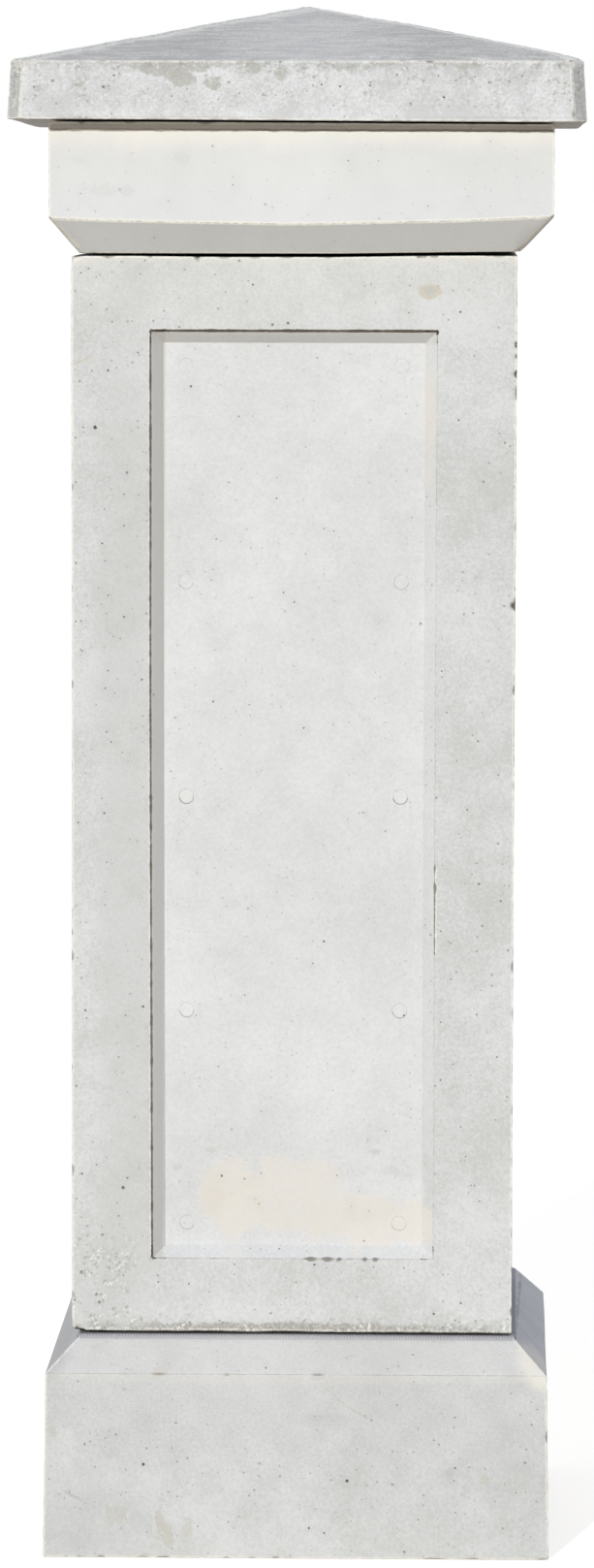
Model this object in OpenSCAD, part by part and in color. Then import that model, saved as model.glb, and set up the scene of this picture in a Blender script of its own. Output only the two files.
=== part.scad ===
// Square precast concrete pillar: four blocks stacked by their own weight.
// The pillar stands on z = 0 over the origin, its front faces -Y.

/* [Shaft] */
// Width of each face of the shaft
shaft_w = 450; // [300:5:700]
// Height of the shaft from its lower edge to its upper edge
shaft_h = 1105; // [600:5:2000]
// How far the shaft stands to the left of the middle of the base
shaft_shift = 5; // [0:0.5:10]

/* [Sunk panels] */
// Plain border at the left and right of each panel
panel_side_margin = 80; // [50:1:120]
// Plain border above and below each panel
panel_end_margin = 76; // [40:1:200]
// Depth of each panel
panel_depth = 12; // [4:0.5:25]
// Width of the sloping edge that runs round each panel
panel_bevel_w = 12; // [2:0.5:30]

/* [Base] */
// Height of the upright faces of the base
base_face_h = 191; // [80:1:400]
// Height of the slope that leads in to the shaft
base_slope_h = 32; // [10:1:80]
// How far the base stands out past the shaft on each side
base_step = 31; // [10:1:80]
// How far each upright face leans out from its upper edge to the ground
base_draft = 2.5; // [0:0.5:10]

/* [Collar] */
// Height of the upright faces of the collar
collar_face_h = 97; // [40:1:250]
// Height of the undercut slope below them
collar_slope_h = 31; // [10:1:80]
// How far the collar stands out past the shaft on each side
collar_step = 29; // [10:1:80]
// How far the collar stands to the right of the middle of the base
collar_shift = 2; // [0:0.5:10]

/* [Cap] */
// Height of the cap's edge, below its pyramid
cap_edge_h = 62; // [25:1:150]
// Rise of the low pyramid from the cap's edge to its tip
cap_rise = 60; // [15:1:200]
// How far the cap stands out past the collar on each side
cap_overhang = 39; // [10:1:120]
// How far each edge face leans in from the underside to the pyramid
cap_draft = 3.5; // [0:0.5:10]
// Length that is cut off each corner of the cap, along the edge
cap_corner = 13; // [4:0.5:40]

/* [Open joints] */
// Opening between the base and the shaft
base_joint = 5.5; // [2:0.5:15]
// Opening between the shaft and the collar
collar_joint = 3; // [2:0.5:15]
// Opening between the collar and the cap
cap_joint = 3; // [2:0.5:15]
// How far back from the shaft's faces the seats between the blocks begin
seat_inset = 45; // [20:1:60]

/* [Hidden] */

concrete_base = [0.83, 0.84, 0.83];
concrete_shaft = [0.86, 0.86, 0.85];
concrete_collar = [0.89, 0.88, 0.87];
concrete_cap = [0.80, 0.80, 0.80];

// Half widths of the blocks
shaft_half = shaft_w / 2;
base_half = shaft_half + base_step;
collar_half = shaft_half + collar_step;
cap_half = collar_half + cap_overhang;
cap_top_half = cap_half - cap_draft;
seat_half = shaft_half - seat_inset;

// Heights above the ground
base_top_z = base_face_h + base_slope_h;
shaft_z = base_top_z + base_joint;
shaft_top_z = shaft_z + shaft_h;
collar_z = shaft_top_z + collar_joint;
collar_top_z = collar_z + collar_slope_h + collar_face_h;
cap_z = collar_top_z + cap_joint;

// Opening of each panel in the face of the shaft
panel_w = shaft_w - 2 * panel_side_margin;
panel_h = shaft_h - 2 * panel_end_margin;

// How far a cutting shape reaches past the face that it cuts
past_face = 5;

// Whole outline of a block, from its right half of [distance from the middle, height] points
function both_halves(right_half) = concat(
    right_half,
    [for (i = [len(right_half) - 1 : -1 : 0]) [-right_half[i][0], right_half[i][1]]]
);

// Outline pulled along Y, to a length that is centred on the middle
module pulled_outline(right_half, length) {
    rotate([90, 0, 0])
        linear_extrude(height = length, center = true)
            polygon(both_halves(right_half));
}

// Block with the same outline seen from the front and from the side
module four_sided_block(right_half, widest_half) {
    length = 2 * (widest_half + past_face);
    intersection() {
        pulled_outline(right_half, length);
        rotate([0, 0, 90]) pulled_outline(right_half, length);
    }
}

// Sunk panel that widens towards the front face, from its floor at panel_depth
module panel_recess() {
    bevel_slope = panel_bevel_w / panel_depth;
    mouth_grow = past_face * bevel_slope;
    floor_y = panel_depth;
    mouth_y = -past_face;
    floor_half_w = panel_w / 2 - panel_bevel_w;
    mouth_half_w = panel_w / 2 + mouth_grow;
    floor_half_h = panel_h / 2 - panel_bevel_w;
    mouth_half_h = panel_h / 2 + mouth_grow;
    intersection() {
        linear_extrude(height = 2 * mouth_half_h, center = true)
            polygon([
                [-mouth_half_w, mouth_y],
                [mouth_half_w, mouth_y],
                [floor_half_w, floor_y],
                [-floor_half_w, floor_y]
            ]);
        rotate([90, 0, 90])
            linear_extrude(height = 2 * mouth_half_w, center = true)
                polygon([
                    [mouth_y, -mouth_half_h],
                    [floor_y, -floor_half_h],
                    [floor_y, floor_half_h],
                    [mouth_y, mouth_half_h]
                ]);
    }
}

// Foot block: upright faces with a little draft, and a slope up to the shaft's width
module base() {
    color(concrete_base)
        four_sided_block([
            [base_half + base_draft, 0],
            [base_half, base_face_h],
            [shaft_half, base_top_z]
        ], base_half + base_draft);
}

// Square shaft on a low seat, with a sunk panel in each face
module shaft() {
    color(concrete_shaft)
        translate([-shaft_shift, 0, shaft_z])
            difference() {
                four_sided_block([
                    [seat_half, -base_joint],
                    [seat_half, 0],
                    [shaft_half, 0],
                    [shaft_half, shaft_h]
                ], shaft_half);
                for (turn = [0 : 90 : 270])
                    rotate([0, 0, turn])
                        translate([0, -shaft_half, shaft_h / 2])
                            panel_recess();
            }
}

// Collar block: undercut slope that starts at the shaft's width, then upright faces
module collar() {
    color(concrete_collar)
        translate([collar_shift, 0, collar_z])
            four_sided_block([
                [seat_half, -collar_joint],
                [seat_half, 0],
                [shaft_half, 0],
                [collar_half, collar_slope_h],
                [collar_half, collar_slope_h + collar_face_h]
            ], collar_half);
}

// Cap slab with cut corners and a low pyramid on top
module cap() {
    // A cut corner's face, measured from the middle along the diagonal
    corner_half = (2 * cap_half - cap_corner) / sqrt(2);
    corner_top_half = (2 * cap_top_half - cap_corner) / sqrt(2);
    cap_top = cap_edge_h + cap_rise;
    color(concrete_cap)
        translate([0, 0, cap_z])
            intersection() {
                four_sided_block([
                    [seat_half, -cap_joint],
                    [seat_half, 0],
                    [cap_half, 0],
                    [cap_top_half, cap_edge_h],
                    [0, cap_top]
                ], cap_half);
                rotate([0, 0, 45])
                    four_sided_block([
                        [corner_half, -cap_joint],
                        [corner_half, 0],
                        [corner_top_half, cap_edge_h],
                        [corner_top_half, cap_top]
                    ], corner_half);
            }
}

base();
shaft();
collar();
cap();
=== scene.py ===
import math
import bpy
import numpy as np
from mathutils import Matrix, Vector
from mathutils.geometry import delaunay_2d_cdt


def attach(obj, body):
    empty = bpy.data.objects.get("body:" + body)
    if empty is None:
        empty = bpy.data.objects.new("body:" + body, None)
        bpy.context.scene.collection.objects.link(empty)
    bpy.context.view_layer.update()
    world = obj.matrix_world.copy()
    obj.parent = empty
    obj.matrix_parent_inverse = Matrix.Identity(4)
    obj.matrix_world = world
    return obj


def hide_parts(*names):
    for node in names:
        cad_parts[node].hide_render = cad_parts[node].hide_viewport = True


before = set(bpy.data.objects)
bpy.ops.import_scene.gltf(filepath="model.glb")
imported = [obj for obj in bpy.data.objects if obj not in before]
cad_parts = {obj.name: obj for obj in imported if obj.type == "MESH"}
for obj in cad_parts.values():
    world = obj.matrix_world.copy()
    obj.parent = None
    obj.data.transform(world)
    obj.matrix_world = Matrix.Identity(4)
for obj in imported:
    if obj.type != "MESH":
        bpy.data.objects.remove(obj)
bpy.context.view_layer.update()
mm = 0.001
print("frame loaded")


# numbers that vary smoothly or by chance, the same on each run

def hashed(cells, seed):
    x, y, z = (cells[..., k].astype(np.int64) for k in range(3))
    h = (x * 374761393 + y * 668265263 + z * 1274126177 + seed * 974634777) & 0xFFFFFFFF
    h = ((h ^ (h >> 13)) * 1103515245) & 0xFFFFFFFF
    return ((h ^ (h >> 16)) & 0xFFFF) / 32767.5 - 1


def smoothNoise(points, waveLength, seed):  # -1 to 1, changing over about one wave length
    p = np.asarray(points) / waveLength
    cell = np.floor(p)
    f = p - cell
    f = f * f * (3 - 2 * f)
    total = 0
    for corner in np.ndindex(2, 2, 2):
        share = np.prod([f[..., k] if corner[k] else 1 - f[..., k] for k in range(3)], axis=0)
        total = total + share * hashed(cell + np.array(corner), seed)
    return total


def fractalNoise(points, waveLength, seed, octaves=3):
    parts = [smoothNoise(points, waveLength / 2 ** k, seed + k) / 2 ** k for k in range(octaves)]
    return sum(parts) / (2 - 2 ** (1 - octaves))


def smoothStep(low, high, value):
    t = np.clip((value - low) / (high - low), 0, 1)
    return t * t * (3 - 2 * t)


# flat faces of a CAD block, in millimetres

acrossAxes = np.array([(1, 0), (0, 1), (-1, 0), (0, -1)])  # front, right, back and left, seen from outside


def weldCad(node):  # corners, and triangles by corner number
    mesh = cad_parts[node].data
    mesh.calc_loop_triangles()
    co = np.array([v.co[:] for v in mesh.vertices]) / mm
    tris = np.array([t.vertices[:] for t in mesh.loop_triangles])
    corners, index = np.unique(np.round(co, 2), axis=0, return_inverse=True)
    return corners, index.reshape(-1)[tris]


def flatFaces(corners, tris):  # triangles that lie in one plane make one face
    faces = []
    for tri in tris:
        a, b, c = corners[tri]
        normal = np.cross(b - a, c - a)
        if np.linalg.norm(normal) < 1e-6:
            continue
        normal = normal / np.linalg.norm(normal)
        for face in faces:
            if normal @ face["normal"] > 0.9999 and abs(normal @ (a - face["origin"])) < 0.05:
                face["tris"].append(tri)
                break
        else:
            faces.append({"normal": normal, "origin": a, "tris": [tri]})
    for face in faces:
        n = face["normal"]
        across = np.cross([0, 0, 1], n) if abs(n[2]) < 0.9 else np.array([1.0, 0, 0]) - n * n[0]
        face["u"] = across / np.linalg.norm(across)
        face["v"] = np.cross(n, face["u"])
        face["turn"] = round(math.atan2(n[0], -n[1]) / (math.pi / 2)) % 4
        pairs = [tuple(sorted((t[k], t[(k + 1) % 3]))) for t in face["tris"] for k in range(3)]
        face["edges"] = sorted(p for p in set(pairs) if pairs.count(p) == 1)
    return faces


def flatten(face, points):  # from space to the face's own two axes
    rel = np.asarray(points) - face["origin"]
    return np.stack([rel @ face["u"], rel @ face["v"]], axis=-1)


def raised(face, flat):  # and back
    return face["origin"] + flat[:, :1] * face["u"] + flat[:, 1:2] * face["v"]


def crossed(a, b):
    return a[..., 0] * b[..., 1] - a[..., 1] * b[..., 0]


def insideFace(face, corners, flat):
    hit = np.zeros(len(flat), bool)
    for tri in face["tris"]:
        a, b, c = flatten(face, corners[tri])
        d1, d2, d3 = (crossed(q - p, flat - p) for p, q in ((a, b), (b, c), (c, a)))
        hit |= ((d1 >= 0) & (d2 >= 0) & (d3 >= 0)) | ((d1 <= 0) & (d2 <= 0) & (d3 <= 0))
    return hit


def distanceToEdges(flat, ends):  # shortest distance from each point to any border edge
    best = np.full(len(flat), 1e9)
    for a, b in ends:
        d = b - a
        t = np.clip((flat - a) @ d / (d @ d), 0, 1)
        best = np.minimum(best, np.linalg.norm(flat - a - t[:, None] * d, axis=1))
    return best


def thinned(groups):  # (points, least gap) in order of rank; a later point keeps off earlier ones
    cell = 8.0
    taken, kept = {}, []
    for points, gap in groups:
        for p in points:
            key = (math.floor(p[0] / cell), math.floor(p[1] / cell))
            cells = [(key[0] + i, key[1] + j) for i in (-1, 0, 1) for j in (-1, 0, 1)]
            near = [q for c in cells for q in taken.get(c, ())]
            if all((p[0] - q[0]) ** 2 + (p[1] - q[1]) ** 2 > gap * gap for q in near):
                taken.setdefault(key, []).append(p)
                kept.append(p)
    return np.array(kept).reshape(-1, 2)


# a casting: the CAD block meshed again, finely, with worn arrises, air holes and marks

farOff = 30.0  # mm, further from an edge than any mark of it shows


class Casting:
    def __init__(self, node, form):
        self.form = form
        self.rng = np.random.default_rng(form["seed"])
        self.corners, tris = weldCad(node)
        self.faces = flatFaces(self.corners, tris)
        low, high = self.corners.min(0), self.corners.max(0)
        self.middle = (low[:2] + high[:2]) / 2
        self.half = (high[0] - low[0]) / 2
        self.foot = low[2] + form["seat"]
        self.points = list(self.corners)
        self.moves = [np.zeros(3) for _ in self.points]
        self.hollow = [0.0] * len(self.points)
        self.patch = [0.0] * len(self.points)
        self.grit, self.diagonal = {}, set()
        self.triangles = []
        self.runs = {}
        for face in self.faces:
            self.meshFace(face)

    def layout(self, place, turn):  # how far across a side and how far up it
        rel = np.asarray(place)[..., :2] - self.middle
        return rel @ acrossAxes[turn], np.asarray(place)[..., 2] - self.foot

    def inset(self, place):  # how far in from the block's square outline
        return self.half - np.abs(np.asarray(place)[..., :2] - self.middle).max(-1)

    def onSide(self, turn, across, up):  # a place on the outline of a side
        ahead = acrossAxes[turn - 1]
        flat = self.middle + across * acrossAxes[turn] + self.half * ahead
        return np.array([flat[0], flat[1], up + self.foot])

    def addPoint(self, place, move=None, hollow=0.0, patch=0.0):
        self.points.append(place)
        self.moves.append(np.zeros(3) if move is None else move)
        self.hollow.append(hollow)
        self.patch.append(patch)
        return len(self.points) - 1

    def isHidden(self, i, j):  # edges of the seat and of what only the seat sees
        return np.abs(self.corners[[i, j], :2] - self.middle).max() < self.form["seatReach"]

    def stepAt(self, i, j):
        if self.isHidden(i, j):
            return self.form["hiddenStep"]
        onFront = (self.corners[[i, j], 1] < self.middle[1] - self.half + self.form["frontDepth"]).all()
        return self.form["edgeStep"] * (1 if onFront else self.form["asideStep"])

    def edgeRun(self, i, j):  # the points along an edge, shared by the two faces that meet there
        if (i, j) not in self.runs:
            a, b = self.corners[i], self.corners[j]
            count = max(1, round(np.linalg.norm(b - a) / self.stepAt(i, j)))
            between = [self.addPoint(a + (b - a) * k / count) for k in range(1, count)]
            self.runs[i, j] = [i] + between + [j]
        return self.runs[i, j]

    def rowPoints(self, face, ends):  # rows close beside each edge, so that its wear has points to move
        kept = [np.zeros((0, 2))]
        for (i, j), (a, b) in zip(face["edges"], ends):
            if self.isHidden(i, j):
                continue
            length = np.linalg.norm(b - a)
            along = (b - a) / length
            aside = np.array([-along[1], along[0]])
            step = self.stepAt(i, j)
            for n, d in enumerate(self.form["rows"]):
                s = np.arange(step * (0.5 + 0.5 * (n % 2)), length, step)
                for side in (-d, d):
                    flat = a + s[:, None] * along + side * aside
                    good = insideFace(face, self.corners, flat) & (distanceToEdges(flat, ends) > 0.93 * d)
                    kept.append(flat[good])
        return np.concatenate(kept)

    def spread(self, face, step, jitter):  # points all over a face, a step apart
        flat = flatten(face, self.corners[np.unique(face["edges"])])
        low, high = flat.min(0), flat.max(0)
        count = np.maximum(1, np.ceil((high - low) / step).astype(int))
        grid = np.stack(np.meshgrid(np.arange(count[0]), np.arange(count[1])), axis=-1).reshape(-1, 2)
        flat = low + (grid + 0.5 + self.rng.uniform(-jitter, jitter, grid.shape)) * step
        return flat[insideFace(face, self.corners, flat)]

    def zoneShare(self, zone, face, place):  # 1 inside a pitted zone, fading to 0 at its border
        across, up = self.layout(place, face["turn"])
        if zone["turn"] not in (None, face["turn"]) or abs(face["normal"][2]) > 0.5:
            return np.zeros(len(place))
        fade = zone["fade"]
        share = 1.0
        for value, (low, high) in ((across, zone["across"]), (up, zone["up"])):
            share = share * smoothStep(low - fade, low + fade, value)
            share = share * (1 - smoothStep(high - fade, high + fade, value))
        return share

    def airHoles(self, face, ends):  # (middle, radius, depth, darkness) of each hole in this face
        form = self.form
        flat = flatten(face, self.corners[np.unique(face["edges"])])
        low, high = flat.min(0), flat.max(0)
        count = int(form["holeRate"] * np.prod((high - low) * mm))
        flat = low + self.rng.random((count, 2)) * (high - low)
        size = form["holeSmall"] * (1 - self.rng.random(count)) ** (-1 / form["holeSpread"])
        size = np.minimum(size, form["holeLarge"])
        dark = 0.15 + 0.85 * self.rng.random(count) ** form["holePale"]
        place = raised(face, flat)
        across, up = self.layout(place, face["turn"])
        crowd = form["crowd"](across, up, self.inset(place))
        crowd = crowd * (1 if face["turn"] == 0 else form["asideHoles"])
        crowd = crowd * smoothStep(-0.9, 0.6, fractalNoise(place, 70.0, form["seed"] + 50))
        good = insideFace(face, self.corners, flat) & (self.rng.random(count) < crowd)
        pits = form["pits"] if face["turn"] == 0 else ()
        chosen = [(self.onFace(face, at), radius, tone) for *at, radius, tone in pits]
        chosen = [hole for hole in chosen if hole[0] is not None]
        chosen += [(flat[k], size[k], dark[k]) for k in np.nonzero(good)[0]]
        holes = []
        for spot, radius, tone in chosen:
            edge = distanceToEdges(spot[None], ends)[0]
            apart = all(np.linalg.norm(spot - h[0]) > 1.7 * (radius + h[1]) for h in holes)
            if edge > 1.6 * radius + 1 and apart:
                holes.append((spot, radius, radius * (0.35 + 0.9 * tone), tone))
        return holes

    def onFace(self, face, at):  # a chosen place, if it lies in this face
        place = self.onSide(face["turn"], *at)
        n = face["normal"]
        ahead = np.append(acrossAxes[face["turn"] - 1], 0.0)
        if abs(n @ ahead) < 0.3:
            return None
        place = place - ahead * (n @ (place - face["origin"])) / (n @ ahead)
        flat = flatten(face, place[None])
        return flat[0] if insideFace(face, self.corners, flat)[0] else None

    def meshFace(self, face):
        form = self.form
        ends = [flatten(face, self.corners[list(e)]) for e in face["edges"]]
        border, links = [], []
        for i, j in face["edges"]:
            run = self.edgeRun(i, j)
            links += list(zip(run[:-1], run[1:]))
            border += run
        ids = list(dict.fromkeys(border))
        where = {k: n for n, k in enumerate(ids)}
        flat = [flatten(face, np.array([self.points[k] for k in ids]))]
        normal = face["normal"]
        plain = all(self.isHidden(i, j) for i, j in face["edges"]) or normal[2] < -0.9
        holes = [] if plain else self.airHoles(face, ends)
        marks = form["marks"](self, face) if "marks" in form else []
        zoned = [np.zeros((0, 2))]
        for zone in form["zones"]:
            spots = self.spread(face, zone["step"], 0.35)
            zoned.append(spots[self.zoneShare(zone, face, raised(face, spots)) > 0.02])
        grid = self.spread(face, form["gridStep"], 0.3)
        if plain:
            grid = grid[distanceToEdges(grid, ends) > form["hiddenGap"]]
        groups = [(self.rowPoints(face, ends), 0), (np.concatenate(zoned), form["zoneGap"])]
        inner = thinned(groups + [(grid, form["gridGap"])])
        inner = inner[distanceToEdges(inner, ends) > form["edgeGap"]]
        for middle, reach in [(h[0], 1.5 * h[1]) for h in holes] + [(m[0], m[1]) for m in marks]:
            inner = inner[np.linalg.norm(inner - middle, axis=1) > reach]
        ids += [self.addPoint(p) for p in raised(face, inner)]
        flat.append(inner)
        for middle, size, depth, dark in holes:
            for reach, count, sink, tone in form["holeRings"][int(size > form["holeRound"])]:
                turn = self.rng.random() * 6.283 + np.arange(count) * 6.283 / count
                wobble = size * reach * self.rng.uniform(0.88, 1.12, (count, 1))
                ring = middle + wobble * np.stack([np.cos(turn), np.sin(turn)], axis=1)
                flat.append(ring)
                ids += [self.addPoint(p, -normal * depth * sink, dark * tone) for p in raised(face, ring)]
        for middle, _, rings in marks:
            for radius, sink, tones, patch in rings:
                turn = np.arange(len(tones)) * 2 * math.pi / len(tones)
                ring = middle + radius * np.stack([np.cos(turn), np.sin(turn)], axis=1)
                flat.append(ring)
                ids += [self.addPoint(p, -normal * sink, t, patch) for p, t in zip(raised(face, ring), tones)]
        flat = np.concatenate(flat)
        constraint = [(where[a], where[b]) for a, b in links]
        out = delaunay_2d_cdt([Vector(p) for p in flat], constraint, [], 0, 1e-4, True)
        back = [o[0] for o in out[3]]
        spots = np.array([v[:] for v in out[0]])
        tris = np.array([t for t in out[2] if len(t) == 3])
        a, b, c = (spots[tris[:, k]] for k in range(3))
        area = crossed(b - a, c - a)
        keep = insideFace(face, self.corners, (a + b + c) / 3) & (np.abs(area) > 1e-3)  # no slivers
        for tri, turned in zip(tris[keep], area[keep] < 0):
            named = [ids[back[k]] for k in tri]
            self.triangles.append(named[::-1] if turned else named)
        self.settle(face, np.array(sorted(set(ids))))

    def settle(self, face, used):  # each face sinks in slow waves, and more in its pitted zones
        form = self.form
        place = np.array([self.points[k] for k in used])
        wave = 0.5 + 0.5 * fractalNoise(place + 1000 * face["normal"], form["waveLength"], form["seed"])
        sink = form["waveDepth"] * wave
        tone = np.zeros(len(used))
        for zone in form["zones"]:
            share = self.zoneShare(zone, face, place)
            rough = fractalNoise(place, zone["grain"], form["seed"] + 60, 2)
            pit = smoothStep(zone["bare"], zone["bare"] + 0.45, rough)
            sink = sink + share * pit * zone["depth"]
            tone = np.maximum(tone, share * pit * zone["tone"])
            for k, amount in zip(used, share * zone["grit"]):
                self.grit[k] = max(self.grit.get(k, 0), amount)
        if 0.6 < abs(face["normal"][0]) < 0.8 and abs(face["normal"][1]) > 0.6:
            self.diagonal.update(used)
        for k, depth, dark in zip(used, sink, tone):
            self.moves[k] = self.moves[k] - face["normal"] * depth
            self.hollow[k] = max(self.hollow[k], dark)

    def isArris(self, edge, first, second):  # an outer corner that shows
        inner = np.mean([self.corners[t].mean(0) for t in second["tris"]], axis=0)
        return first["normal"] @ (inner - self.corners[edge[0]]) < -1e-3 and not self.isHidden(*edge)

    def wearEdges(self, places):  # arrises are rubbed down, and chipped here and there
        form = self.form
        rest = np.array(self.points)
        worn = {label: np.zeros(len(rest)) for label in ("wear", "soil", "seamWide", "seamDark")}
        worn.update({label: np.full(len(rest), farOff) for label in ("arris", "seamGap")})
        owners = {}
        for face in self.faces:
            for edge in face["edges"]:
                owners.setdefault(edge, []).append(face)
        for edge, (first, second) in sorted(owners.items(), key=lambda item: item[0]):
            if not self.isArris(edge, first, second):
                continue
            a, b = self.corners[list(edge)]
            length = np.linalg.norm(b - a)
            along = (b - a) / length
            outward = first["normal"] + second["normal"]
            outward = outward / np.linalg.norm(outward)
            bend = math.acos(np.clip(first["normal"] @ second["normal"], -1, 1))
            run = (rest - a) @ along
            s = np.clip(run, 0, length)
            away = np.linalg.norm(rest - a - s[:, None] * along, axis=1)
            near = away < form["wearReach"]
            seamed = "seam" in form and abs(bend - math.pi / 4) < 0.1
            if seamed:  # only its own two faces, between its ends
                near &= np.abs(run - length / 2) <= length / 2 + 1e-3
                off = [np.abs((rest - f["origin"]) @ f["normal"]) for f in (first, second)]
                near &= np.min(off, axis=0) < 0.01
            s, away = s[near], away[near]
            q = a + s[:, None] * along
            cut, stainAndShade, jointShaded = self.cutDepth(q, s, length, bend, edge)
            ridge = bend < 0.5  # of the roof, where the faces bend little
            stainAndShade = stainAndShade * (not ridge)
            high = ((places[near] - q) * outward).sum(1) + cut
            push = 0.5 * (high + np.sqrt(high ** 2 + form["roundness"] ** 2))
            places[near] -= outward * push[:, None]
            if ridge:  # it stands up a little
                lift = form["ridgeLift"] * (1 - smoothStep(0, 1, away / form["wearReach"]))
                places[near] += outward * lift[:, None]
            touched = smoothStep(0.15, 1.0, push)
            worn["wear"][near] = np.maximum(worn["wear"][near], touched)
            worn["soil"][near] = np.maximum(worn["soil"][near], touched * stainAndShade)
            flatSide = first if np.abs(first["normal"]).max() > 0.99 else second
            level = np.abs((rest[near] - flatSide["origin"]) @ flatSide["normal"]) < 0.01
            rim = away * (form["ridgeRub"] if ridge else 1)
            if seamed:
                width, dark = form["seam"](flatSide["turn"], *self.layout(q, flatSide["turn"]), q)
                rim = np.where(level & (dark > form["rimFrom"]), rim, farOff)
            elif jointShaded:
                rim = np.abs(rim - form["soilStrip"]) * form["soilStrip"]  # the pale line runs above the painted joint shade
            worn["arris"][near] = np.minimum(worn["arris"][near], rim)
            if seamed:
                groove = 1 - smoothStep(0.3, 0.9, away / np.maximum(width, 0.4))
                places[near] -= outward * (groove * width * form["seamDepth"])[:, None]
                closer = away < worn["seamGap"][near]
                for label, value in (("seamGap", away), ("seamWide", width), ("seamDark", dark)):
                    worn[label][near] = np.where(closer, value, worn[label][near])
        return worn

    def cutDepth(self, q, s, length, bend, edge):  # how deep an arris is cut along it, and how dark it is painted: stains of chips and knocks, and painted joint shade
        form = self.form
        sharp = max(math.sin(bend / 2), 0.45)
        middle = q.mean(0)[None] if len(q) else np.zeros((1, 3))
        up = middle[0, 2] - self.foot
        corner = np.abs(middle[0, :2] - self.middle).min()
        depth, rough, chips, jointShaded = (*form["arris"](up, self.inset(middle)[0], corner), 0)[:4]
        seed = form["seed"]
        cut = depth * (1 + 0.6 * fractalNoise(q, 45.0, seed + 3))
        cut = cut + rough * (0.5 + fractalNoise(q, 6.0, seed + 9))
        cut = np.maximum(cut, 0.05)
        stainAndShade = np.full(len(q), float(jointShaded))
        rng = np.random.default_rng(seed * 1000 + edge[0] * 37 + edge[1])
        for _ in range(rng.poisson(chips * length * mm)):
            at, span = rng.random() * length, rng.uniform(2.5, 8)
            deep, dark = span * rng.uniform(0.12, 0.32), rng.uniform(-0.7, 0.8)
            hit = np.clip(1 - ((s - at) / span) ** 2, 0, 1)
            cut = cut + deep * hit
            stainAndShade = np.maximum(stainAndShade, hit * dark)
        for across, up, span, deep, dark in form["knocks"]:
            gap = np.linalg.norm((q - self.onSide(0, across, up)) / span, axis=1)
            hit = np.clip(1 - gap ** 2, 0, 1)
            cut = cut + deep * hit
            stainAndShade = np.maximum(stainAndShade, smoothStep(0, 0.4, hit) * dark)
        return cut * sharp, stainAndShade, jointShaded

    def build(self, name, material):
        rest = np.array(self.points)
        places = rest + np.array(self.moves)
        layers = self.wearEdges(places)
        layers.update(hollow=self.hollow, patch=self.patch, inset=self.inset(rest))
        layers["grit"] = [self.grit.get(k, 0) for k in range(len(rest))]
        layers["corner"] = [float(k in self.diagonal) for k in range(len(rest))]
        # painted shade: black inside the joints, further in than the rim
        layers["buried"] = self.form["buried"](rest[:, 2] - self.foot, self.inset(rest))
        aside = (rest[:, :2] - self.middle) / self.half
        places[:, :2] += self.form["swell"] * np.sign(aside) * aside ** 6  # only near the outline
        if "warp" in self.form:
            places = self.form["warp"](self, rest, places)
        tris = np.array(self.triangles)
        mesh = bpy.data.meshes.new(name)
        mesh.from_pydata((places * mm).tolist(), [], tris.tolist())
        for label, values in layers.items():
            layer = mesh.attributes.new(label, "FLOAT", "POINT")
            layer.data.foreach_set("value", np.asarray(values, np.float32))
        mesh.shade_smooth()
        mesh.set_sharp_from_angle(angle=math.radians(32))
        mesh.materials.append(material)
        piece = bpy.data.objects.new(name, mesh)
        bpy.context.scene.collection.objects.link(piece)
        print(name, len(places), "points", len(tris), "triangles")
        return piece


# shader helpers

def put(tree, kind, inputs=None, **settings):
    node = tree.nodes.new("ShaderNode" + kind)
    for label, value in settings.items():
        setattr(node, label, value)
    for label, value in (inputs or {}).items():
        if isinstance(value, bpy.types.NodeSocket):
            tree.links.new(value, node.inputs[label])
        else:
            node.inputs[label].default_value = value
    return node


def maths(tree, operation, *values, clamp=False):
    return put(tree, "Math", dict(enumerate(values)), operation=operation, use_clamp=clamp).outputs[0]


def plus(tree, a, b, clamp=False):
    return maths(tree, "ADD", a, b, clamp=clamp)


def minus(tree, a, b):
    return maths(tree, "SUBTRACT", a, b)


def times(tree, a, b):
    return maths(tree, "MULTIPLY", a, b)


def vectorMaths(tree, operation, *values):
    return put(tree, "VectorMath", dict(enumerate(values)), operation=operation).outputs[0]


def mixColour(tree, factor, a, b, blend="MIX"):
    a, b = ((*c, 1) if isinstance(c, tuple) else c for c in (a, b))
    return put(tree, "Mix", {0: factor, 6: a, 7: b}, data_type="RGBA", blend_type=blend).outputs[2]


def ramp(tree, value, low, high):  # 0 below low, 1 above high
    inputs = {"Value": value, "From Min": low, "From Max": high}
    return put(tree, "MapRange", inputs, interpolation_type="SMOOTHSTEP").outputs["Result"]


def noise(tree, vector, scale, detail=3.0, roughness=0.55):
    inputs = {"Vector": vector, "Scale": scale, "Detail": detail, "Roughness": roughness}
    return put(tree, "TexNoise", inputs).outputs["Fac"]


def swing(tree, vector, scale, amount, detail=2.0):  # noise about zero, times an amount
    return times(tree, minus(tree, noise(tree, vector, scale, detail), 0.5), amount)


def newGroup(name, inputs, outputs):
    group = bpy.data.node_groups.new(name, "ShaderNodeTree")
    for label, kind, value in inputs:
        socket = group.interface.new_socket(label, in_out="INPUT", socket_type="NodeSocket" + kind)
        if value is not None:
            socket.default_value = value
    for label, kind in outputs:
        group.interface.new_socket(label, in_out="OUTPUT", socket_type="NodeSocket" + kind)
    return group, group.nodes.new("NodeGroupInput").outputs, group.nodes.new("NodeGroupOutput").inputs


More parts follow.
